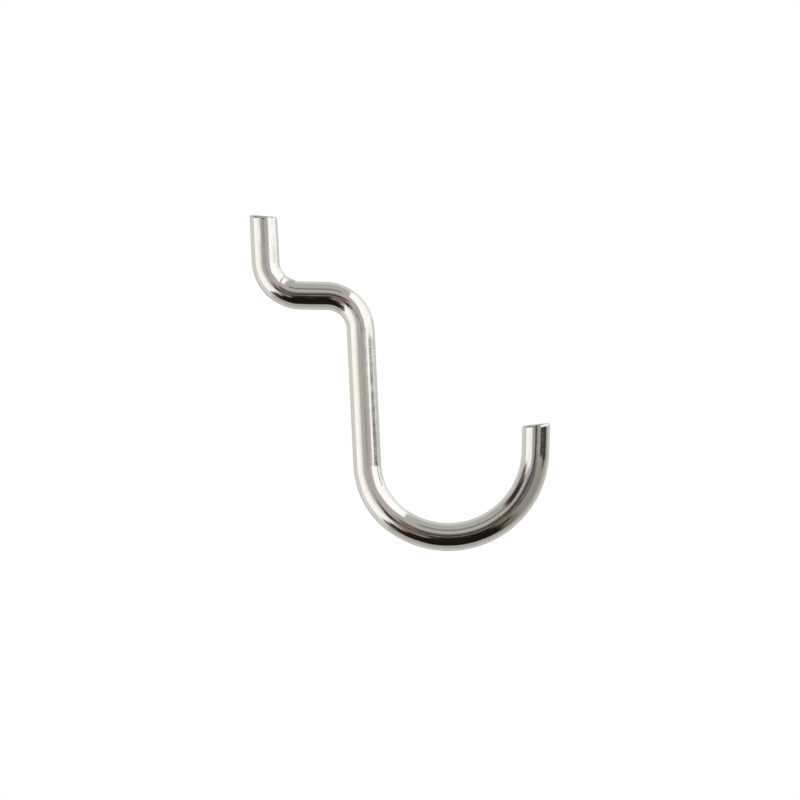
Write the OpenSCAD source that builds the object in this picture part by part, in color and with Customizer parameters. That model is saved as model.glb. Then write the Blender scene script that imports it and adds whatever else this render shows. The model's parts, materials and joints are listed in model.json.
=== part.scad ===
// Wire hook for a perforated board.
//
// One length of plated steel wire, bent in one plane: an upturned peg that stands
// behind the board, a short neck that passes through the hole, a leg that hangs down
// the front of the board and an open J that carries the load.
//
// The origin is the middle of the hole in the plane of the board's front face.
// +X points out of the board, +Z up, and the wire's middle line lies in the XZ plane.

/* [Wire] */
// Diameter of the wire
wire_d = 4; // [3:0.1:5]
// Radius on the edge of each cropped end
end_round = 0.4; // [0.1:0.05:0.8]
// How much the wire's diameter shrinks through a bend
bend_thinning = 0.04; // [0.02:0.01:0.1]
// Slant of each cropped end from square, in degrees
cut_slant = 7.5; // [1:0.5:12]

/* [Peg and neck] */
// Length of the peg from its bend to the middle of its end
peg_length = 6.85; // [4:0.05:20]
// Room between the peg and the plane of the board's face
board_room = 9.15; // [6.5:0.05:20]
// Fall of the neck from the peg to the leg, in degrees
neck_fall = 3.5; // [0:0.5:10]
// Inside radius of the two tight bends, at the peg and at the leg
bend_inside_r = 2.8; // [1:0.05:3]

/* [Leg] */
// Straight length of the leg
leg_length = 19.8; // [5:0.2:60]

/* [Hook] */
// Inside radius of the J where it leaves the leg
heel_inside_r = 8.35; // [3:0.05:20]
// How far the J turns at the heel radius, in degrees
heel_turn = 59; // [20:0.5:80]
// Short straight between the two curves of the J
knuckle_length = 0.3; // [0.3:0.1:3]
// Inside radius of the rest of the J
bowl_inside_r = 10.5; // [3:0.1:20]
// How far the J turns at the bowl radius, in degrees
bowl_turn = 116.7; // [80:0.1:140]
// Length of the tip from the end of the J to the middle of its end
tip_length = 4; // [2.5:0.1:15]

/* [Hidden] */
$fn = 96;

wire_r = wire_d / 2;
plated_steel = [0.84, 0.83, 0.81];

// How far a bend's own sweep reaches into the straight at each of its ends.
bite = 0.1;

// The slant of an end is a very short bend whose radius is the wire's own diameter,
// with a short straight of cap_length and the rounded edge beyond it.
cap_length = 0.2;
slant_r = wire_d;
end_length = slant_r * cut_slant * PI / 180 + cap_length + end_round;

bend_r = bend_inside_r + wire_r;
bend_turn = 90 - neck_fall;
bend_reach = bend_r * (1 - cos(bend_turn));
neck_length = (board_room + wire_d - 2 * bend_reach) / cos(neck_fall);

// The wire's path as steps, from the end of the peg to the end of the tip. A step is
// [length, 0] for a straight, or [radius, turn] for a bend of the wire's middle line.
// Turns are counter-clockwise as seen with +X to the right and +Z up.
steps = [
    [cap_length, 0],
    [slant_r, cut_slant],
    [peg_length - end_length, 0],
    [bend_r, bend_turn],
    [neck_length, 0],
    [bend_r, -bend_turn],
    [leg_length, 0],
    [heel_inside_r + wire_r, heel_turn],
    [knuckle_length, 0],
    [bowl_inside_r + wire_r, bowl_turn],
    [tip_length - end_length, 0],
    [slant_r, cut_slant],
    [cap_length, 0],
];

// Where the wire starts: at the end of the peg, heading down, with the peg's middle
// line behind the board and the neck's middle line through the origin.
start_turn = -90 - cut_slant;
start_x = -board_room - wire_r + slant_r * (1 - cos(cut_slant)) + cap_length * sin(cut_slant);
neck_rise = (board_room + wire_r - bend_reach) * tan(neck_fall);
start_z = neck_rise + bend_r * sin(bend_turn)
        + peg_length - end_length + slant_r * sin(cut_slant) + cap_length * cos(cut_slant);

// Moves children from the start of a step, along +X, to its far end.
module past(step) {
    centre_z = sign(step[1]) * step[0];
    if (step[1] == 0)
        translate([step[0], 0, 0]) children();
    else
        translate([0, 0, centre_z])
            rotate([0, -step[1], 0])
                translate([0, 0, -centre_z]) children();
}

module straight(length) {
    rotate([0, 90, 0]) cylinder(d = wire_d, h = length);
}

// A bend that starts along +X and turns towards +Z, or towards -Z if turn is negative.
module bend(radius, turn) {
    bite_turn = bite / radius * 180 / PI;
    mirror([0, 0, turn < 0 ? 1 : 0])
        translate([0, 0, radius])
            rotate([90, 90, 0])
                rotate_extrude(start = -bite_turn, angle = abs(turn) + 2 * bite_turn)
                    translate([radius, 0]) circle(d = wire_d - bend_thinning);
}

// The rounded edge and flat face of a cropped end, facing +X.
module cropped_end() {
    rotate([0, 90, 0])
        rotate_extrude() {
            square([wire_r - end_round, end_round]);
            intersection() {
                translate([wire_r - end_round, 0]) circle(end_round);
                square([wire_r, end_round]);
            }
        }
}

// The wire from step i to the end of the tip, starting along +X.
module wire_from(i) {
    if (i == len(steps))
        cropped_end();
    else {
        if (steps[i][1] == 0)
            straight(steps[i][0]);
        else
            bend(steps[i][0], steps[i][1]);
        past(steps[i]) wire_from(i + 1);
    }
}

module hook_wire() {
    color(plated_steel)
        translate([start_x, 0, start_z])
            rotate([0, -start_turn, 0]) {
                mirror([1, 0, 0]) cropped_end();
                wire_from(0);
            }
}

hook_wire();
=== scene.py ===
import json
from math import cos, degrees, pi, radians, sin, tan
from typing import NamedTuple

import bpy
from bpy.props import FloatProperty, FloatVectorProperty, IntProperty, PointerProperty
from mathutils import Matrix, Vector


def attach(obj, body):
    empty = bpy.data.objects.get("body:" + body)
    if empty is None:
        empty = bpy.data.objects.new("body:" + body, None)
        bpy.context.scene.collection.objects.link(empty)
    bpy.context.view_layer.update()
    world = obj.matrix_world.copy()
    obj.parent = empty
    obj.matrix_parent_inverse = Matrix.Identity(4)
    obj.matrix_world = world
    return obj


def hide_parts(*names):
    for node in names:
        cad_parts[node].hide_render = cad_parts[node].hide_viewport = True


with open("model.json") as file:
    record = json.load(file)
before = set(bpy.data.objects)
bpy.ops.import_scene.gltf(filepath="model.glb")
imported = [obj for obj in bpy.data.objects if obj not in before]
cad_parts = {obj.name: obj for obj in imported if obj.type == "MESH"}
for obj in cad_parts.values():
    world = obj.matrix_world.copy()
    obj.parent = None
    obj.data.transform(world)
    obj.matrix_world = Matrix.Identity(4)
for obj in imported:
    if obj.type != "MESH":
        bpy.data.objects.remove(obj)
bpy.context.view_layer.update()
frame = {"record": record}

bl_info = {
    "name": "Wire Pegboard Hook",
    "version": (1, 0, 0),
    "blender": (4, 5, 0),
    "location": "View3D > Sidebar > Wire Hook",
    "description": "Bends a nickel-plated wire hook for a perforated board and sets it in a studio",
    "category": "Add Mesh",
}

MOUNTS = {mount["name"]: mount for mount in frame["record"]["mounts"]}
NODE = "hook_wire"
MM = 0.001
MICRON = 0.001 * MM

WIRE_RADIUS = MOUNTS["peg"]["dims"]["r_mm"] * MM
BOARD_ROOM = -MOUNTS["peg"]["pos_m"][0] - WIRE_RADIUS


def length(name, default_mm, description):
    """A size in millimetres, shown as a length."""
    return FloatProperty(
        name=name,
        description=description,
        default=default_mm * MM,
        min=0.0,
        subtype="DISTANCE",
        unit="LENGTH",
        precision=5,
    )


def angle(name, default_degrees, description):
    """A turn in degrees, shown as an angle."""
    return FloatProperty(
        name=name,
        description=description,
        default=radians(default_degrees),
        subtype="ANGLE",
        unit="ROTATION",
    )


def share(name, default, description):
    """A number from 0 to 1."""
    return FloatProperty(
        name=name, description=description, default=default, min=0.0, max=1.0, subtype="FACTOR"
    )


def colour(name, default, description):
    """A colour as its shares of red, green and blue light."""
    return FloatVectorProperty(
        name=name, description=description, default=default, min=0.0, size=3, subtype="COLOR"
    )


class WireHookSizes(bpy.types.PropertyGroup):
    """The bent wire, from the end of the peg to the end of the tip."""

    wire_diameter: length("Wire Diameter", 2 * WIRE_RADIUS / MM, "Diameter of the drawn wire")
    end_round: length("End Round", 0.4, "Radius on the edge of each cropped end")
    cut_slant: angle("Cut Slant", 7.5, "Slant of each cropped end from square")
    peg_length: length("Peg Length", 6.85, "From the peg's bend to the middle of its end")
    board_room: length("Board Room", BOARD_ROOM / MM, "Between the peg and the board's face")
    neck_fall: angle("Neck Fall", 3.5, "Fall of the neck from the peg to the leg")
    bend_inside: length("Bend Inside Radius", 2.8, "Inside radius of the two tight bends")
    leg_length: length("Leg Length", 19.8, "Straight length of the leg")
    heel_inside: length("Heel Inside Radius", 8.35, "Inside radius where the J leaves the leg")
    heel_turn: angle("Heel Turn", 59.0, "How far the J turns at the heel radius")
    knuckle_length: length("Knuckle Length", 0.3, "Straight between the two curves of the J")
    bowl_inside: length("Bowl Inside Radius", 10.5, "Inside radius of the rest of the J")
    bowl_turn: angle("Bowl Turn", 116.7, "How far the J turns at the bowl radius")
    tip_length: length("Tip Length", 4.0, "From the end of the J to the middle of the tip's end")
    ring_gap: length("Ring Gap", 0.1, "Distance between rings of the wire's mesh")
    sides: IntProperty(
        name="Sides", description="Sides of each ring of the wire's mesh", default=96, min=12
    )
    flattening: share("Flattening", 0.46, "How strongly a bend pulls in the wire's outer side")
    crease_depth: length("Crease Depth", 0.08, "Depth of the fold inside the peg's bend")
    bulge_height: length("Bulge Height", 0.15, "How far the wire bulges before that fold")
    burr_height: length("Burr Height", 0.13, "Height of the ridge that the bending tool left")
    chip_depth: length("Chip Depth", 0.16, "Depth of the chip in the edge of the peg's end")


class WireHookFinish(bpy.types.PropertyGroup):
    """Bright nickel over drawn steel."""

    nickel: colour("Nickel", (0.67, 0.645, 0.604), "Colour of the plating")
    cut_steel: colour("Cut Steel", (0.52, 0.49, 0.46), "Colour of the thinly plated ends")
    roughness: share("Roughness", 0.055, "Roughness of the clean plating")
    peel_height: FloatProperty(
        name="Peel Height",
        description="Height of the fine waves in the plating, in micrometres",
        default=2.0,
        min=0.0,
    )


class WireHookStudio(bpy.types.PropertyGroup):
    """Camera, floor and surroundings."""

    camera_distance: length("Camera Distance", 2000.0, "From the camera to the wire's plane")
    view_width: length("View Width", 114.7, "Width of the view at the wire's plane")
    aim_x: length("Aim X", 7.14, "How far in front of the board the camera aims")
    aim_drop: length("Aim Drop", 15.27, "How far under the board's hole the camera aims")
    camera_roll: angle("Camera Roll", 2.78, "Roll of the camera about its own axis")
    floor_drop: length("Floor Drop", 60.0, "From the height that the camera aims at to the floor")
    floor_colour: colour("Floor Colour", (0.85, 0.85, 0.85), "Colour of the pale floor")


# ---------------------------------------------------------------- node helpers


class Field:
    """One socket of a node tree. Arithmetic on fields adds Math nodes to the tree."""

    def __init__(self, graph, socket):
        self.graph = graph
        self.socket = socket

    def _math(self, operation, *values):
        return self.graph.math(operation, *values)

    def __add__(self, other):
        return self._math("ADD", self, other)

    __radd__ = __add__

    def __sub__(self, other):
        return self._math("SUBTRACT", self, other)

    def __rsub__(self, other):
        return self._math("SUBTRACT", other, self)

    def __mul__(self, other):
        return self._math("MULTIPLY", self, other)

    __rmul__ = __mul__

    def __truediv__(self, other):
        return self._math("DIVIDE", self, other)

    def __neg__(self):
        return self._math("MULTIPLY", self, -1.0)

    def __abs__(self):
        return self._math("ABSOLUTE", self)

    def __gt__(self, other):
        return self._math("GREATER_THAN", self, other)

    def sine(self):
        return self._math("SINE", self)

    def cosine(self):
        return self._math("COSINE", self)

    def rise(self, low, high):
        """0 up to low, 1 from high on, and smooth between them."""
        settings = {"interpolation_type": "SMOOTHSTEP"}
        sockets = {"Value": self, "From Min": low, "From Max": high}
        return self.graph.node("ShaderNodeMapRange", settings, sockets)["Result"]

    def bell(self, middle, half_width):
        """1 at middle, falling to about a third at half_width to either side."""
        away = (self - middle) / half_width
        return self._math("EXPONENT", -(away * away))

    def within(self, half_width, blur):
        """1 near 0, falling to 0 at half_width to either side, over a distance of blur."""
        return 1.0 - abs(self).rise(half_width - blur / 2, half_width + blur / 2)


class Node:
    """A node whose outputs are read by name, as fields."""

    def __init__(self, graph, node):
        self.graph = graph
        self.node = node

    def __getitem__(self, name):
        found = [s for s in self.node.outputs if s.name == name and s.enabled]
        if not found:
            raise KeyError(f"{self.node.bl_idname} has no output {name!r}")
        return Field(self.graph, found[0])


class Graph:
    """Builds one node tree."""

    def __init__(self, tree):
        self.tree = tree

    def node(self, kind, settings=None, sockets=None):
        """Adds a node: its settings first, then the values or links of its sockets."""
        node = self.tree.nodes.new(kind)
        for key, value in (settings or {}).items():
            setattr(node, key, value)
        for key, value in (sockets or {}).items():
            socket = node.inputs[key] if isinstance(key, int) else self._input(node, key)
            if isinstance(value, Field):
                self.tree.links.new(value.socket, socket)
            else:
                socket.default_value = value
        return Node(self, node)

    @staticmethod
    def _input(node, name):
        found = [s for s in node.inputs if s.name == name and s.enabled]
        if not found:
            raise KeyError(f"{node.bl_idname} has no input {name!r}")
        return found[0]

    def math(self, operation, *values):
        """A number worked out from one or more others."""
        node = self.node("ShaderNodeMath", {"operation": operation}, dict(enumerate(values)))
        return node["Value"]

    def vector(self, x, y, z):
        """A vector with these three parts."""
        return self.node("ShaderNodeCombineXYZ", None, {"X": x, "Y": y, "Z": z})["Vector"]

    def scaled(self, vector, factor):
        """The vector times a number."""
        settings = {"operation": "SCALE"}
        sockets = {0: vector, "Scale": factor}
        return self.node("ShaderNodeVectorMath", settings, sockets)["Vector"]

    def summed(self, first, *others):
        """The sum of all the vectors."""
        total = first
        for other in others:
            sockets = {0: total, 1: other}
            total = self.node("ShaderNodeVectorMath", {"operation": "ADD"}, sockets)["Vector"]
        return total

    def stretched(self, vector, factors):
        """The vector with each of its parts times its own number."""
        settings = {"operation": "MULTIPLY"}
        return self.node("ShaderNodeVectorMath", settings, {0: vector, 1: factors})["Vector"]

    def mixed(self, factor, colour_a, colour_b):
        """A colour that goes from colour_a to colour_b."""
        settings = {"data_type": "RGBA"}
        a, b = (c if isinstance(c, Field) else (*c, 1.0) for c in (colour_a, colour_b))
        sockets = {"Factor": factor, "A": a, "B": b}
        return self.node("ShaderNodeMix", settings, sockets)["Result"]

    def noise(self, vector, scale, detail, roughness):
        """A smooth random pattern between 0 and 1."""
        sockets = {"Vector": vector, "Scale": scale, "Detail": detail, "Roughness": roughness}
        return self.node("ShaderNodeTexNoise", None, sockets)["Fac"]


# ---------------------------------------------------------------- the wire's middle line


class Ring(NamedTuple):
    """One ring of the wire.

    x and z are its middle, and along is how far it is from the peg's end face. girth is
    its share of the wire's radius, and bend is that radius over the bend's, negative where
    the wire turns to its right. lean is how far the ring slides ahead for each unit that
    it reaches to its left.
    """

    x: float
    z: float
    heading: float
    along: float
    girth: float
    bend: float
    lean: float = 0.0


def bending_steps(sizes):
    """The steps of the wire's path by name, and its start as (x, z, heading).

    A step is (length, 0) for a straight and (radius, turn) for a bend.
    """
    wire_radius = sizes.wire_diameter / 2
    bend_radius = sizes.bend_inside + wire_radius
    bend_turn = pi / 2 - sizes.neck_fall
    bend_reach = bend_radius * (1 - cos(bend_turn))
    neck_span = sizes.board_room + sizes.wire_diameter - 2 * bend_reach
    neck_length = neck_span / cos(sizes.neck_fall)
    steps = {
        "peg": (sizes.peg_length - sizes.end_round, 0.0),
        "peg_bend": (bend_radius, bend_turn),
        "neck": (neck_length, 0.0),
        "leg_bend": (bend_radius, -bend_turn),
        "leg": (sizes.leg_length, 0.0),
        "heel": (sizes.heel_inside + wire_radius, sizes.heel_turn),
        "knuckle": (sizes.knuckle_length, 0.0),
        "bowl": (sizes.bowl_inside + wire_radius, sizes.bowl_turn),
        "tip": (sizes.tip_length - sizes.end_round, 0.0),
    }
    neck_rise = (sizes.board_room + wire_radius - bend_reach) * tan(sizes.neck_fall)
    start_x = -sizes.board_room - wire_radius
    start_z = neck_rise + bend_radius * sin(bend_turn) + sizes.peg_length - sizes.end_round
    return steps, (start_x, start_z, -pi / 2)


def wire_used(size, turn):
    """The length of wire that one step of the path takes."""
    return size * abs(turn) if turn else size


def step_starts(sizes):
    """How far along the wire each step of its path starts, by name."""
    steps, _ = bending_steps(sizes)
    starts = {}
    along = sizes.end_round
    for name, (size, turn) in steps.items():
        starts[name] = along
        along += wire_used(size, turn)
    return starts


# Rings on each end's flat face, and on the rounded edge round it.
FACE_RINGS = 5
ROUND_RINGS = 9


def wire_rings(sizes):
    """Every ring from the peg's end face to the tip's."""
    steps, (x, z, heading) = bending_steps(sizes)
    wire_radius = sizes.wire_diameter / 2
    round_radius = sizes.end_round
    rim = 1 - round_radius / wire_radius

    def end_rings():
        """(distance from the end face, share of the wire's radius), from the middle out."""
        for i in range(FACE_RINGS):
            yield 0.0, rim * i / FACE_RINGS
        for i in range(ROUND_RINGS):
            turn = pi / 2 * i / ROUND_RINGS
            yield round_radius * (1 - cos(turn)), rim + (1 - rim) * sin(turn)

    rings = []
    for depth, girth in end_rings():
        back = round_radius - depth
        rings.append(
            Ring(x - back * cos(heading), z - back * sin(heading), heading, depth, girth, 0.0)
        )
    along = round_radius
    for size, turn in steps.values():
        used = wire_used(size, turn)
        count = max(1, round(used / sizes.ring_gap))
        bend = wire_radius / size * (1 if turn > 0 else -1) if turn else 0.0
        for _ in range(count):
            rings.append(Ring(x, z, heading, along, 1.0, bend))
            advance = used / count
            half_turn = turn / count / 2
            chord = size * 2 * sin(abs(half_turn)) if turn else advance
            x += chord * cos(heading + half_turn)
            z += chord * sin(heading + half_turn)
            heading += 2 * half_turn
            along += advance
    rings.append(Ring(x, z, heading, along, 1.0, 0.0))
    for depth, girth in reversed(list(end_rings())):
        out = round_radius - depth
        rings.append(
            Ring(x + out * cos(heading), z + out * sin(heading), heading, along + out, girth, 0.0)
        )
    return slanted(eased(rings, wire_radius), sizes.cut_slant, wire_radius)


def eased(rings, reach):
    """The rings with each bend's onset spread over reach to either side."""
    out = []
    for ring in rings:
        near = [r.bend for r in rings if abs(r.along - ring.along) <= reach]
        out.append(ring._replace(bend=sum(near) / len(near)))
    return out


def slanted(rings, slant, reach):
    """The rings with both cropped ends leaning, and none further in than reach."""
    whole = rings[-1].along
    out = []
    for ring in rings:
        at_start = max(0.0, 1 - ring.along / reach)
        at_end = max(0.0, 1 - (whole - ring.along) / reach)
        out.append(ring._replace(lean=tan(slant) * (at_start - at_end)))
    return out


def middle_line(rings):
    """A chain of points, one for each ring, that carries the rings' values."""
    mesh = bpy.data.meshes.new("middle_line")
    points = [(ring.x, 0.0, ring.z) for ring in rings]
    mesh.from_pydata(points, [(i, i + 1) for i in range(len(rings) - 1)], [])
    for name in ("heading", "along", "girth", "bend", "lean"):
        layer = mesh.attributes.new(name, "FLOAT", "POINT")
        layer.data.foreach_set("value", [getattr(ring, name) for ring in rings])
    return bpy.data.objects.new("middle_line", mesh)


# ---------------------------------------------------------------- the wire's sweep


# What the bending tool left inside the peg's bend, measured from the bend's start.
FOLD_PLACE = 3.5 * MM
FOLD_WIDTH = 0.15 * MM
BULGE_LENGTH = 0.7 * MM
BURR_START = 3.55 * MM
BURR_END = 6.55 * MM
BURR_ONSET = 0.9 * MM
BURR_STOP = 0.2 * MM

# How far down the peg the cropping tool gripped it, and how much it thinned its end.
GRIP_LENGTH = 5.0 * MM
GRIP_DEPTH = 0.03 * MM

# A bend widens the wire across its plane by this share of what it pulls in.
BEND_WIDENING = 0.15

# Share of the UV map's width that a metre of wire takes.
MAP_SHARE = 10.0

SWEEP_NUMBERS = (
    "Wire Diameter",
    "Flattening",
    "Fold Place",
    "Fold Width",
    "Crease Depth",
    "Bulge Height",
    "Bulge Length",
    "Burr Start",
    "Burr End",
    "Burr Onset",
    "Burr Stop",
    "Burr Height",
    "Grip Length",
    "Grip Depth",
    "Chip Depth",
)


def sweep_tree():
    """A Geometry Nodes tree that sweeps a wire's section along its middle line."""
    tree = bpy.data.node_groups.new("wire_sweep", "GeometryNodeTree")
    face = tree.interface
    face.new_socket("Middle Line", in_out="INPUT", socket_type="NodeSocketGeometry")
    for name in SWEEP_NUMBERS:
        face.new_socket(name, in_out="INPUT", socket_type="NodeSocketFloat")
    face.new_socket("Sides", in_out="INPUT", socket_type="NodeSocketInt")
    face.new_socket("Finish", in_out="INPUT", socket_type="NodeSocketMaterial")
    face.new_socket("Wire", in_out="OUTPUT", socket_type="NodeSocketGeometry")
    g = Graph(tree)
    given = g.node("NodeGroupInput")

    def point_value(name):
        settings = {"data_type": "FLOAT"}
        return g.node("GeometryNodeInputNamedAttribute", settings, {"Name": name})["Attribute"]

    path = g.node("GeometryNodeMeshToCurve", None, {"Mesh": given["Middle Line"]})["Curve"]
    place = g.node("GeometryNodeInputPosition")["Position"]
    path = g.node(
        "GeometryNodeStoreNamedAttribute",
        {"data_type": "FLOAT_VECTOR", "domain": "POINT"},
        {"Geometry": path, "Name": "middle", "Value": place},
    )["Geometry"]
    circle = g.node("GeometryNodeCurvePrimitiveCircle", None, {"Resolution": given["Sides"]})
    index = g.node("GeometryNodeInputIndex")["Index"]
    section = g.node(
        "GeometryNodeStoreNamedAttribute",
        {"data_type": "FLOAT", "domain": "POINT"},
        {"Geometry": circle["Curve"], "Name": "around", "Value": index / given["Sides"]},
    )["Geometry"]
    skin = g.node("GeometryNodeCurveToMesh", None, {"Curve": path, "Profile Curve": section})
    skin = skin["Mesh"]

    radius = given["Wire Diameter"] / 2.0
    heading = point_value("heading")
    along = point_value("along")
    girth = point_value("girth")
    bend = point_value("bend")
    around = point_value("around") * (2 * pi)
    across_share = around.cosine()
    front_share = around.sine()

    # A bend pulls in the outer side of the wire and widens it a little across its plane.
    outer_side = (-(across_share * bend)) > 0.0
    pull = given["Flattening"] * bend * bend
    across_reach = across_share * (1.0 - pull * outer_side)
    front_reach = front_share * (1.0 + pull * BEND_WIDENING)

    # The wire is folded inside the peg's bend. It bulges before the fold, and beyond it
    # stands the ridge that the bending tool left, which ends abruptly.
    inner_side = across_share.rise(0.62, 0.97)
    fold_place = given["Fold Place"] - across_share.bell(0.7, 0.12) * given["Fold Width"]
    fold_depth = given["Crease Depth"] * across_share.rise(0.36, 0.5)
    fold = along.bell(fold_place, given["Fold Width"]) * fold_depth
    bulge_place = fold_place - given["Bulge Length"]
    bulge = along.bell(bulge_place, given["Bulge Length"] * 0.8) * inner_side
    ridge = along.rise(given["Burr Start"], given["Burr Start"] + given["Burr Onset"])
    ridge = ridge * (1.0 - along.rise(given["Burr End"] - given["Burr Stop"], given["Burr End"]))
    ridge = ridge * across_share.rise(0.86, 0.99)
    marks = (bulge * given["Bulge Height"] + ridge * given["Burr Height"] - fold) / radius

    # The peg thins slightly towards its end, where the cropping tool gripped it.
    grip = 1.0 - along.rise(0.0, given["Grip Length"])
    taper = 1.0 - grip * given["Grip Depth"] / radius
    swell = girth * taper + marks * (girth > 0.99)
    # The cropping tool left each end aslant, and chipped the edge of the peg's.
    chip = across_share.bell(0.62, 0.09) * front_share.rise(0.0, 0.4) * girth.rise(0.7, 0.95)
    chip = chip * (1.0 - along.rise(0.0, given["Chip Depth"] * 4.0)) * given["Chip Depth"]
    slide = across_share * girth * radius * point_value("lean") + chip

    heading_cosine = heading.cosine()
    heading_sine = heading.sine()
    across = g.vector(-heading_sine, 0.0, heading_cosine)
    ahead = g.vector(heading_cosine, 0.0, heading_sine)
    middle = g.node(
        "GeometryNodeInputNamedAttribute", {"data_type": "FLOAT_VECTOR"}, {"Name": "middle"}
    )["Attribute"]
    spot = g.summed(
        middle,
        g.scaled(across, across_reach * swell * radius),
        g.scaled(g.vector(0.0, -1.0, 0.0), front_reach * swell * radius),
        g.scaled(ahead, slide),
    )
    skin = g.node("GeometryNodeSetPosition", None, {"Geometry": skin, "Position": spot})["Geometry"]
    wrap = g.vector(across_share, front_share, along / radius)
    skin = g.node(
        "GeometryNodeStoreNamedAttribute",
        {"data_type": "FLOAT_VECTOR", "domain": "POINT"},
        {"Geometry": skin, "Name": "wrap", "Value": wrap},
    )["Geometry"]

    # The UV map: along the wire by round it, with the seam's last column closed at 1.
    turn = point_value("around")
    face_turn = g.node(
        "GeometryNodeFieldOnDomain", {"data_type": "FLOAT", "domain": "FACE"}, {"Value": turn}
    )["Value"]
    turn = turn + ((face_turn - turn) > 0.25)
    skin = g.node(
        "GeometryNodeStoreNamedAttribute",
        {"data_type": "FLOAT2", "domain": "CORNER"},
        {"Geometry": skin, "Name": "wire_map", "Value": g.vector(along * MAP_SHARE, turn, 0.0)},
    )["Geometry"]
    skin = g.node(
        "GeometryNodeMergeByDistance", None, {"Geometry": skin, "Distance": MICRON}
    )["Geometry"]
    skin = g.node("GeometryNodeSetShadeSmooth", None, {"Geometry": skin})["Geometry"]
    skin = g.node("GeometryNodeRealizeInstances", None, {"Geometry": skin})["Geometry"]
    skin = g.node(
        "GeometryNodeSetMaterial", None, {"Geometry": skin, "Material": given["Finish"]}
    )["Geometry"]
    g.node("NodeGroupOutput", None, {"Wire": skin})
    return tree


def set_inputs(modifier, values):
    """Sets a Geometry Nodes modifier's inputs by the identifiers of their sockets."""
    for item in modifier.node_group.interface.items_tree:
        if item.in_out == "INPUT" and item.name in values:
            modifier[item.identifier] = values[item.name]


def plain_mesh(source, name):
    """The evaluated result of an object's modifiers as a plain mesh object."""
    bpy.context.scene.collection.objects.link(source)
    depsgraph = bpy.context.evaluated_depsgraph_get()
    mesh = bpy.data.meshes.new_from_object(
        source.evaluated_get(depsgraph), preserve_all_data_layers=True, depsgraph=depsgraph
    )
    mesh.name = name
    bpy.data.objects.remove(source)
    piece = bpy.data.objects.new(name, mesh)
    bpy.context.scene.collection.objects.link(piece)
    return piece


# ---------------------------------------------------------------- the nickel


# Colours of the plating where it is clouded or marked, and the dark reflections painted along its
# scuff, scratch and die marks.
CLOUDED = (0.66, 0.625, 0.585)
PITTED = (0.30, 0.27, 0.25)
SCRATCH_WITH_PAINTED_REFLECTION = (0.20, 0.18, 0.17)
RUB_WITH_PAINTED_REFLECTION = (0.12, 0.11, 0.105)
SCUFF_WITH_PAINTED_REFLECTION = (0.40, 0.38, 0.36)
MOTTLED = (0.44, 0.43, 0.38)

# Heights and depths of the plating's relief.
LINE_HEIGHT = 0.35 * MICRON
FINE_LINE_HEIGHT = 0.12 * MICRON
WAVE_HEIGHT = 6.0 * MICRON
PIT_DEPTH = 1.6 * MICRON
SCUFF_HEIGHT = 1.2 * MICRON
SCRATCH_DEPTH = 5.0 * MICRON

# How fine a pattern is across the wire, towards its front and along it.
LINE_GRAIN = (26.0, 26.0, 0.55)
FINE_LINE_GRAIN = (70.0, 70.0, 1.6)
GRIT_GRAIN = (13.0, 13.0, 8.0)

# Places across the wire, from its middle (0) to its left side (1), and half widths.
SCUFF_AND_REFLECTION_PLACE = 0.63
SCUFF_AND_REFLECTION_HALF_WIDTH = 0.1
SCRATCH_AND_REFLECTION_PLACE = 0.655
SCRATCH_AND_REFLECTION_HALF_WIDTH = 0.014
DIE_MARK_AND_REFLECTION_PLACE = 0.06
SECOND_MARK_AND_REFLECTION_DROP = 0.2


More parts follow.
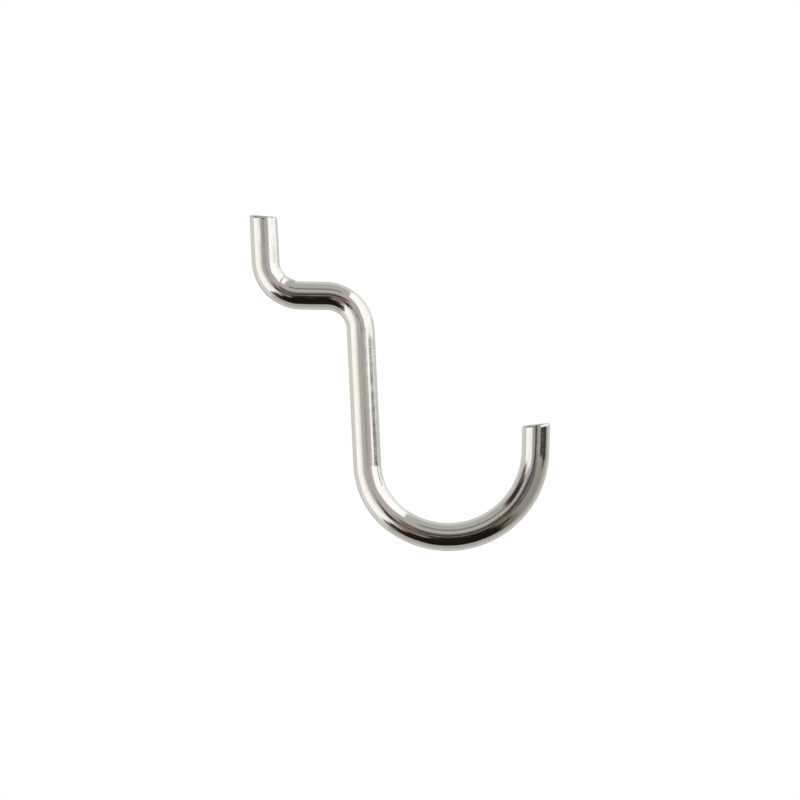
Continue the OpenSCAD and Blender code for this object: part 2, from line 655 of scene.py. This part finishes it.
def nickel_finish(finish, starts):
    """Bright nickel plating, with drawing lines, fine waves, pits and scuffs, and dark reflection
    lines painted into its colour.

    starts says how far along the wire each step of its path starts.
    """
    material = bpy.data.materials.new("bright_nickel")
    material.use_nodes = True
    material.node_tree.nodes.clear()
    g = Graph(material.node_tree)
    wrap = g.node("ShaderNodeAttribute", {"attribute_name": "wrap"})["Vector"]
    along = g.node("ShaderNodeAttribute", {"attribute_name": "along"})["Fac"]
    girth = g.node("ShaderNodeAttribute", {"attribute_name": "girth"})["Fac"]
    parts = g.node("ShaderNodeSeparateXYZ", None, {"Vector": wrap})
    across_share = parts["X"]

    # Drawing lines run along the wire, under fine waves and a few pits.
    lines = g.noise(g.stretched(wrap, LINE_GRAIN), 1.0, 3.0, 0.6)
    fine_lines = g.noise(g.stretched(wrap, FINE_LINE_GRAIN), 1.0, 2.0, 0.5)
    peel = g.noise(wrap, 7.0, 3.0, 0.55)
    waves = g.noise(wrap, 1.1, 1.0, 0.5)
    specks = g.noise(wrap, 19.0, 1.0, 0.5)
    pits = specks.rise(0.70, 0.76)

    # Scuffs, scratches and marks, with the dark reflections painted along them, are on the front
    # only, and these two patterns break them up.
    front = parts["Y"].rise(0.0, 0.3)
    broken = g.noise(wrap, 2.6, 2.0, 0.6)
    grit = g.noise(g.stretched(wrap, GRIT_GRAIN), 1.0, 3.0, 0.7)

    def lasting(start, full, fading, end):
        """1 from full to fading along the wire, and 0 before start and beyond end."""
        return along.rise(start, full) * (1.0 - along.rise(fading, end))

    # A scuffed strip lies on the leg's front side, and narrows towards its left at the heel. Its
    # darker colour is a painted dark reflection band, darkest towards the heel.
    leg, heel = starts["leg"], starts["heel"]
    on_leg = lasting(leg - 0.3 * MM, leg + 2.0 * MM, heel - 1.3 * MM, heel + 1.2 * MM)
    narrowing = along.rise(heel - 1.8 * MM, heel + 0.7 * MM)
    scuff_and_reflection_across = SCUFF_AND_REFLECTION_PLACE + narrowing * 0.08
    scuff_and_reflection_strip = across_share.bell(scuff_and_reflection_across, SCUFF_AND_REFLECTION_HALF_WIDTH * (1.0 - narrowing / 2.0))
    scuff_and_reflection_strip = scuff_and_reflection_strip * on_leg * front

    # A fine scratch runs down the peg, broken here and there. Its groove is in the relief, and its
    # dark colour is a painted dark reflection line.
    peg_bend = starts["peg_bend"]
    on_peg = lasting(2.2 * MM, 2.6 * MM, peg_bend - 0.85 * MM, peg_bend - 0.05 * MM) * front
    scratch_and_reflection_line = across_share.bell(SCRATCH_AND_REFLECTION_PLACE, SCRATCH_AND_REFLECTION_HALF_WIDTH)
    scratch_and_reflection_line = scratch_and_reflection_line * broken.rise(0.38, 0.48) * on_peg

    # Two die marks run up the middle of the tip, where the wire rubbed in the bending tool. They
    # are duller, and their dark colour is a painted dark reflection line that carries on the one in
    # the J's bowl.
    tip = starts["tip"]
    on_tip = along.rise(tip - 12.7 * MM, tip - 9.2 * MM) * front * girth.rise(0.9, 0.99)
    mark_and_reflection_across = DIE_MARK_AND_REFLECTION_PLACE * (1.0 - along.rise(tip - 3.7 * MM, tip + 1.3 * MM))
    wander = (broken - 0.5) * 0.07
    from_mark_and_reflection = across_share - mark_and_reflection_across
    upper_mark_and_reflection = (from_mark_and_reflection + wander).within(0.06, 0.05)
    lower_mark_and_reflection = (from_mark_and_reflection + SECOND_MARK_AND_REFLECTION_DROP - wander).within(0.031, 0.038)
    die_mark_and_reflection = (upper_mark_and_reflection + lower_mark_and_reflection * broken.rise(0.4, 0.6) * 0.7) * on_tip

    # The outer side of the J's end is faintly mottled darker and greener.
    mottled = across_share.rise(-0.95, -0.75) * (1.0 - across_share.rise(-0.3, -0.15)) * on_tip

    height = (
        (peel - 0.5) * (finish.peel_height * MICRON)
        + (lines - 0.5) * LINE_HEIGHT
        + (fine_lines - 0.5) * FINE_LINE_HEIGHT
        + (waves - 0.5) * WAVE_HEIGHT
        - pits * PIT_DEPTH
        + scuff_and_reflection_strip * (grit - 0.5) * SCUFF_HEIGHT
        - scratch_and_reflection_line * SCRATCH_DEPTH
    )
    bump = g.node("ShaderNodeBump", None, {"Height": height, "Distance": 1.0, "Strength": 1.0})

    # The ends were cut after drawing, so the plating on them is duller and darker.
    cut_end = 1.0 - girth.rise(0.80, 0.96)
    roughness = (
        finish.roughness
        + lines.rise(0.5, 0.72) * 0.10
        + die_mark_and_reflection * 0.12
        + pits * 0.25
        + scuff_and_reflection_strip * 0.03
        + cut_end * 0.28
    )
    tint = g.mixed(waves.rise(0.35, 0.65), finish.nickel, CLOUDED)
    tint = g.mixed(cut_end * 0.8, tint, finish.cut_steel)
    tint = g.mixed(pits * 0.55, tint, PITTED)
    # Painted dark reflection line along the peg's scratch.
    tint = g.mixed(scratch_and_reflection_line * 0.65, tint, SCRATCH_WITH_PAINTED_REFLECTION)
    # Painted dark reflection lines up the middle of the tip.
    tint = g.mixed(die_mark_and_reflection * lines.rise(0.22, 0.5) * 0.9, tint, RUB_WITH_PAINTED_REFLECTION)
    # Painted dark reflection band on the leg's scuffed strip, darkest towards the heel.
    tint = g.mixed(scuff_and_reflection_strip * (grit.rise(0.35, 0.6) * 0.3 + narrowing * 0.4), tint, SCUFF_WITH_PAINTED_REFLECTION)
    tint = g.mixed(mottled * grit.rise(0.42, 0.58) * 0.35, tint, MOTTLED)
    shader = g.node(
        "ShaderNodeBsdfPrincipled",
        None,
        {"Base Color": tint, "Metallic": 1.0, "Roughness": roughness, "Normal": bump["Normal"]},
    )
    g.node("ShaderNodeOutputMaterial", None, {"Surface": shader["BSDF"]})
    return material


# ---------------------------------------------------------------- the studio


class Patch(NamedTuple):
    """A soft-edged part of the studio, by its direction from the wire.

    bearing goes round the Y axis from +X towards +Z, and tilt from the camera's side
    (0) to the far side (180), all in degrees. Each is (from, to), and each blur is the
    width of its soft edges. tilt holds in the middle of bearing, and both its edges then
    grow by lean for each degree of bearing. A later patch covers the ones before it.
    """

    bearing: tuple
    tilt: tuple
    light: tuple
    bearing_blur: float
    tilt_blur: float
    lean: float = 0.0


# Light from the room and its surfaces, and the tilts over which the backdrop fades in.
ROOM = (0.62, 0.62, 0.61)
BACKDROP = (0.95, 0.97, 0.98)
BACKDROP_EDGE = (84.0, 108.0)
FAR_BACKDROP = (0.72, 0.725, 0.72)
FAR_BACKDROP_EDGE = (122.0, 152.0)
SOFTBOX = (1.48, 1.52, 1.56)
DARK_FLOOR = (0.014, 0.0125, 0.0105)
PALE_STAND = (0.50, 0.49, 0.48)

STUDIO = (
    # ceiling, above and behind, and the dim line across it in front
    Patch((58, 172), (72, 118), (0.60, 0.605, 0.59), 10.0, 30.0),
    Patch((64, 132), (50, 65), (0.30, 0.30, 0.285), 8.0, 9.0),
    # table, below and behind
    Patch((228, 358), (70, 124), (0.60, 0.585, 0.55), 7.0, 30.0),
    Patch((310, 352), (8, 90), (0.42, 0.415, 0.38), 30.0, 8.0),
    Patch((296, 315), (24, 86), (0.24, 0.225, 0.19), 14.0, 10.0),
    # left softbox, brightest away from its inner edge
    Patch((161, 231), (30.5, 96), (1.10, 1.12, 1.10), 5.0, 12.0, -0.3),
    Patch((168, 229), (46, 94), (1.43, 1.455, 1.44), 7.0, 24.0, -0.3),
    Patch((166, 177.6), (30, 52), (1.35, 1.37, 1.34), 1.5, 9.0),
    Patch((170, 197), (92, 128), (0.93, 0.90, 0.87), 10.0, 12.0),
    # right softbox: its dimmer far side, its face, and its lower corners
    Patch((-3.0, 0.3), (94, 136), (0.76, 0.765, 0.75), 1.0, 12.0),
    Patch((14, 54), (96, 146), (1.24, 1.26, 1.26), 8.0, 24.0),
    Patch((0.3, 54), (70, 110), (1.46, 1.50, 1.53), 0.7, 30.0),
    Patch((0.9, 24), (36, 97), SOFTBOX, 0.5, 9.0),
    Patch((20, 54), (47.5, 103), SOFTBOX, 0.5, 9.0, 0.62),
    Patch((0.8, 2.0), (29, 60), SOFTBOX, 0.4, 9.0),
    Patch((-1.7, 1.4), (43, 97), SOFTBOX, 1.0, 9.0),
    # dark gaps beside them
    Patch((133, 158), (45, 90), (0.045, 0.04, 0.036), 9.0, 13.0, 0.2),
    Patch((152, 167), (62, 93), (0.17, 0.16, 0.15), 8.0, 14.0),
    Patch((-14.0, -5.0), (63, 88), (0.20, 0.19, 0.17), 6.0, 8.0),
    Patch((-9.0, 0.3), (61, 94), (0.065, 0.061, 0.057), 0.7, 6.0),
    Patch((-7.0, -2.2), (37, 94), (0.075, 0.071, 0.067), 2.0, 8.0),
    # dark floor in front
    Patch((254, 303), (-4, 79), DARK_FLOOR, 8.0, 7.0),
    Patch((239, 262), (27, 79), DARK_FLOOR, 7.0, 8.0),
    Patch((227, 244), (46, 81), (0.02, 0.018, 0.016), 6.0, 10.0),
    Patch((223, 236), (64, 82), (0.17, 0.16, 0.14), 4.0, 8.0),
    # warm wood at its two near corners, with shade round it
    Patch((212, 258), (3, 17), (0.15, 0.112, 0.105), 8.0, 6.0),
    Patch((221, 232), (2, 24), (0.05, 0.036, 0.035), 8.0, 6.0),
    Patch((235, 251), (4, 32), (0.36, 0.225, 0.185), 8.0, 8.0, -0.35),
    Patch((299, 314), (4, 27), (0.38, 0.25, 0.185), 6.0, 8.0, 0.35),
    Patch((300, 310), (30, 44), (0.04, 0.035, 0.03), 4.0, 5.0),
    Patch((232, 313), (1, 9), (0.06, 0.045, 0.042), 12.0, 6.0),
    # camera, its dark bag and a stand's legs
    Patch((49, 160), (5, 26), (0.22, 0.21, 0.20), 12.0, 4.0),
    Patch((60, 152), (1, 14), (0.07, 0.048, 0.048), 12.0, 3.0),
    Patch((49, 63), (2, 8), (0.17, 0.13, 0.125), 8.0, 4.0),
    Patch((316, 344), (13, 22), (0.13, 0.11, 0.09), 10.0, 5.0),
    Patch((312, 356.5), (2, 16), (0.25, 0.235, 0.22), 2.0, 10.0),
    Patch((308, 352), (3, 9), (0.19, 0.17, 0.16), 8.0, 3.0),
    Patch((168, 177.5), (3, 26), PALE_STAND, 1.5, 6.0),
    Patch((15, 165), (-4, 2.0), PALE_STAND, 20.0, 1.2),
    # shade on the far floor and the far wall
    Patch((196, 344), (150, 184), (0.30, 0.29, 0.27), 20.0, 14.0),
    Patch((16, 164), (160, 184), (0.36, 0.36, 0.35), 20.0, 10.0),
)


def studio_world():
    """Softboxes, dark gaps and a pale backdrop, as the wire mirrors them."""
    world = bpy.data.worlds.new("studio")
    world.use_nodes = True
    world.node_tree.nodes.clear()
    g = Graph(world.node_tree)
    direction = g.node("ShaderNodeTexCoord")["Generated"]
    parts = g.node("ShaderNodeSeparateXYZ", None, {"Vector": direction})
    bearing = g.math("ARCTAN2", parts["Z"], parts["X"]) * degrees(1.0)
    tilt = g.math("ARCCOSINE", -parts["Y"]) * degrees(1.0)
    light = g.mixed(tilt.rise(*BACKDROP_EDGE), ROOM, BACKDROP)
    light = g.mixed(tilt.rise(*FAR_BACKDROP_EDGE), light, FAR_BACKDROP)
    for patch in STUDIO:
        middle = sum(patch.bearing) / 2
        away = g.math("WRAP", bearing - middle, 180.0, -180.0)
        in_bearing = away.within(patch.bearing[1] - middle, patch.bearing_blur)
        middle = sum(patch.tilt) / 2
        above = tilt - middle
        if patch.lean:
            above = above - away * patch.lean
        in_tilt = above.within(patch.tilt[1] - middle, patch.tilt_blur)
        light = g.mixed(in_bearing * in_tilt, light, patch.light)
    seen = g.node("ShaderNodeLightPath")["Is Camera Ray"]
    light = g.mixed(seen, light, (1.0, 1.0, 1.0))
    background = g.node("ShaderNodeBackground", None, {"Color": light, "Strength": 1.0})
    g.node("ShaderNodeOutputWorld", None, {"Surface": background["Background"]})
    return world


# How white the floor is where it keeps the shadow, and how far from its middle that ends.
FLOOR_WHITE = 0.45
SHADOW_EDGE = (18.0 * MM, 42.0 * MM)


def floor_finish(studio, middle):
    """A pale floor that keeps a soft shadow near its middle and turns white beyond."""
    material = bpy.data.materials.new("pale_floor")
    material.use_nodes = True
    material.node_tree.nodes.clear()
    g = Graph(material.node_tree)
    place = g.node("ShaderNodeTexCoord")["Object"]
    away = g.node(
        "ShaderNodeVectorMath", {"operation": "DISTANCE"}, {0: place, 1: tuple(middle)}
    )["Value"]
    matt = g.node("ShaderNodeBsdfDiffuse", None, {"Color": (*studio.floor_colour, 1.0)})["BSDF"]
    seen = g.node("ShaderNodeLightPath")["Is Camera Ray"]
    glow = g.node("ShaderNodeEmission", None, {"Color": (1, 1, 1, 1), "Strength": 1.0})["Emission"]
    beyond = away.rise(*SHADOW_EDGE)
    white_share = seen * (FLOOR_WHITE + beyond * (1.0 - FLOOR_WHITE))
    lit = g.node("ShaderNodeMixShader", None, {"Fac": white_share, 1: matt, 2: glow})["Shader"]
    g.node("ShaderNodeOutputMaterial", None, {"Surface": lit})
    return material


# ---------------------------------------------------------------- operators


class WIREHOOK_OT_bend_wire(bpy.types.Operator):
    """Bend and plate the hook's wire"""

    bl_idname = "wire_hook.bend_wire"
    bl_label = "Bend Wire"

    def execute(self, context):
        sizes = context.scene.wire_hook_sizes
        starts = step_starts(sizes)
        finish = nickel_finish(context.scene.wire_hook_finish, starts)
        line = middle_line(wire_rings(sizes))
        sweep = line.modifiers.new("wire_sweep", "NODES")
        sweep.node_group = sweep_tree()
        set_inputs(
            sweep,
            {
                "Wire Diameter": sizes.wire_diameter,
                "Flattening": sizes.flattening,
                "Fold Place": starts["peg_bend"] + FOLD_PLACE,
                "Fold Width": FOLD_WIDTH,
                "Crease Depth": sizes.crease_depth,
                "Bulge Height": sizes.bulge_height,
                "Bulge Length": BULGE_LENGTH,
                "Burr Start": starts["peg_bend"] + BURR_START,
                "Burr End": starts["peg_bend"] + BURR_END,
                "Burr Onset": BURR_ONSET,
                "Burr Stop": BURR_STOP,
                "Burr Height": sizes.burr_height,
                "Grip Length": GRIP_LENGTH,
                "Grip Depth": GRIP_DEPTH,
                "Chip Depth": sizes.chip_depth,
                "Sides": sizes.sides,
                "Finish": finish,
            },
        )
        piece = plain_mesh(line, "bent_wire")
        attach(piece, "root")
        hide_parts(NODE)
        return {"FINISHED"}


# The camera's sensor, the nearest and farthest things that it sees, and half the floor.
SENSOR_WIDTH_MM = 36.0
NEAREST_SEEN = 0.01
FARTHEST_SEEN = 20.0
FLOOR_HALF_SIZE = 1.5

# The lamp over the hook: its place from where the camera aims, its side and its power.
LAMP_PLACE = Vector((-0.1, -0.15, 0.5))
LAMP_SIZE = 0.25
LAMP_WATTS = 0.6


class WIREHOOK_OT_set_stage(bpy.types.Operator):
    """Set the camera, the pale floor and the studio's light"""

    bl_idname = "wire_hook.set_stage"
    bl_label = "Set Stage"

    def execute(self, context):
        scene = context.scene
        studio = scene.wire_hook_studio
        aim = Vector((studio.aim_x, 0.0, -studio.aim_drop))

        lens = bpy.data.cameras.new("studio_camera")
        lens.sensor_width = SENSOR_WIDTH_MM
        lens.lens = lens.sensor_width * studio.camera_distance / studio.view_width
        lens.clip_start = NEAREST_SEEN
        lens.clip_end = FARTHEST_SEEN
        camera = bpy.data.objects.new("studio_camera", lens)
        camera.location = aim + Vector((0.0, -studio.camera_distance, 0.0))
        camera.rotation_euler = (pi / 2, studio.camera_roll, 0.0)
        scene.collection.objects.link(camera)
        scene.camera = camera

        floor_middle = aim + Vector((0.0, 0.0, -studio.floor_drop))
        corners = [
            floor_middle + Vector((x, y, 0.0)) * FLOOR_HALF_SIZE
            for x, y in ((-1, -1), (1, -1), (1, 1), (-1, 1))
        ]
        mesh = bpy.data.meshes.new("pale_floor")
        mesh.from_pydata([tuple(corner) for corner in corners], [], [(0, 1, 2, 3)])
        mesh.materials.append(floor_finish(studio, floor_middle))
        floor = bpy.data.objects.new("pale_floor", mesh)
        floor.visible_glossy = False
        scene.collection.objects.link(floor)

        lamp = bpy.data.lights.new("overhead_softbox", "AREA")
        lamp.shape = "SQUARE"
        lamp.size = LAMP_SIZE
        lamp.energy = LAMP_WATTS
        overhead = bpy.data.objects.new("overhead_softbox", lamp)
        overhead.location = aim + LAMP_PLACE
        overhead.rotation_euler = (-LAMP_PLACE).to_track_quat("-Z", "Y").to_euler()
        overhead.visible_glossy = False
        scene.collection.objects.link(overhead)

        scene.world = studio_world()
        scene.view_settings.view_transform = "Standard"
        return {"FINISHED"}


class WIREHOOK_PT_hook(bpy.types.Panel):
    """Lists the hook's parts and sizes"""

    bl_label = "Wire Hook"
    bl_space_type = "VIEW_3D"
    bl_region_type = "UI"
    bl_category = "Wire Hook"

    def draw(self, context):
        scene = context.scene
        for operator, group in (
            (WIREHOOK_OT_bend_wire, scene.wire_hook_sizes),
            (None, scene.wire_hook_finish),
            (WIREHOOK_OT_set_stage, scene.wire_hook_studio),
        ):
            box = self.layout.box()
            if operator:
                box.operator(operator.bl_idname)
            for name in group.__annotations__:
                box.prop(group, name)


CLASSES = (
    WireHookSizes,
    WireHookFinish,
    WireHookStudio,
    WIREHOOK_OT_bend_wire,
    WIREHOOK_OT_set_stage,
    WIREHOOK_PT_hook,
)


def register():
    for cls in CLASSES:
        bpy.utils.register_class(cls)
    bpy.types.Scene.wire_hook_sizes = PointerProperty(type=WireHookSizes)
    bpy.types.Scene.wire_hook_finish = PointerProperty(type=WireHookFinish)
    bpy.types.Scene.wire_hook_studio = PointerProperty(type=WireHookStudio)


def unregister():
    del bpy.types.Scene.wire_hook_studio
    del bpy.types.Scene.wire_hook_finish
    del bpy.types.Scene.wire_hook_sizes
    for cls in reversed(CLASSES):
        bpy.utils.unregister_class(cls)


def main():
    register()
    bpy.ops.wire_hook.bend_wire()
    bpy.ops.wire_hook.set_stage()


if __name__ == "__main__":
    main()
